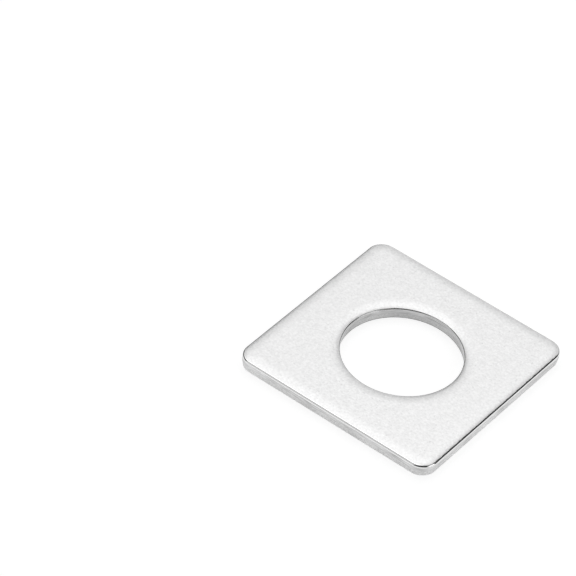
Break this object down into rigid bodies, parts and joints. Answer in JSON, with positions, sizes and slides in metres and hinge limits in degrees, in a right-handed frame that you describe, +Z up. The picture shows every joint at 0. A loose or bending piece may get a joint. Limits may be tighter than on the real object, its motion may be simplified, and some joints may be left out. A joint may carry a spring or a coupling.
{
  "type": "square plate washer",
  "caption": "Flat square washer stamped from sheet steel, with rounded corners and a round clearance hole, for spreading a bolt's load.",
  "frame": {"origin": "centre of the hole on the underside", "axes": "+Z up along the hole, from the underside to the rolled top face; +X and +Y along the sides"},
  "size_m": [0.04, 0.04, 0.0025],
  "materials": {
    "steel": "tumbled satin, with bright lips and a matt torn band on the edges"
  },
  "bodies": {
    "root": {"square_washer": "steel"}
  },
  "joints": []
}
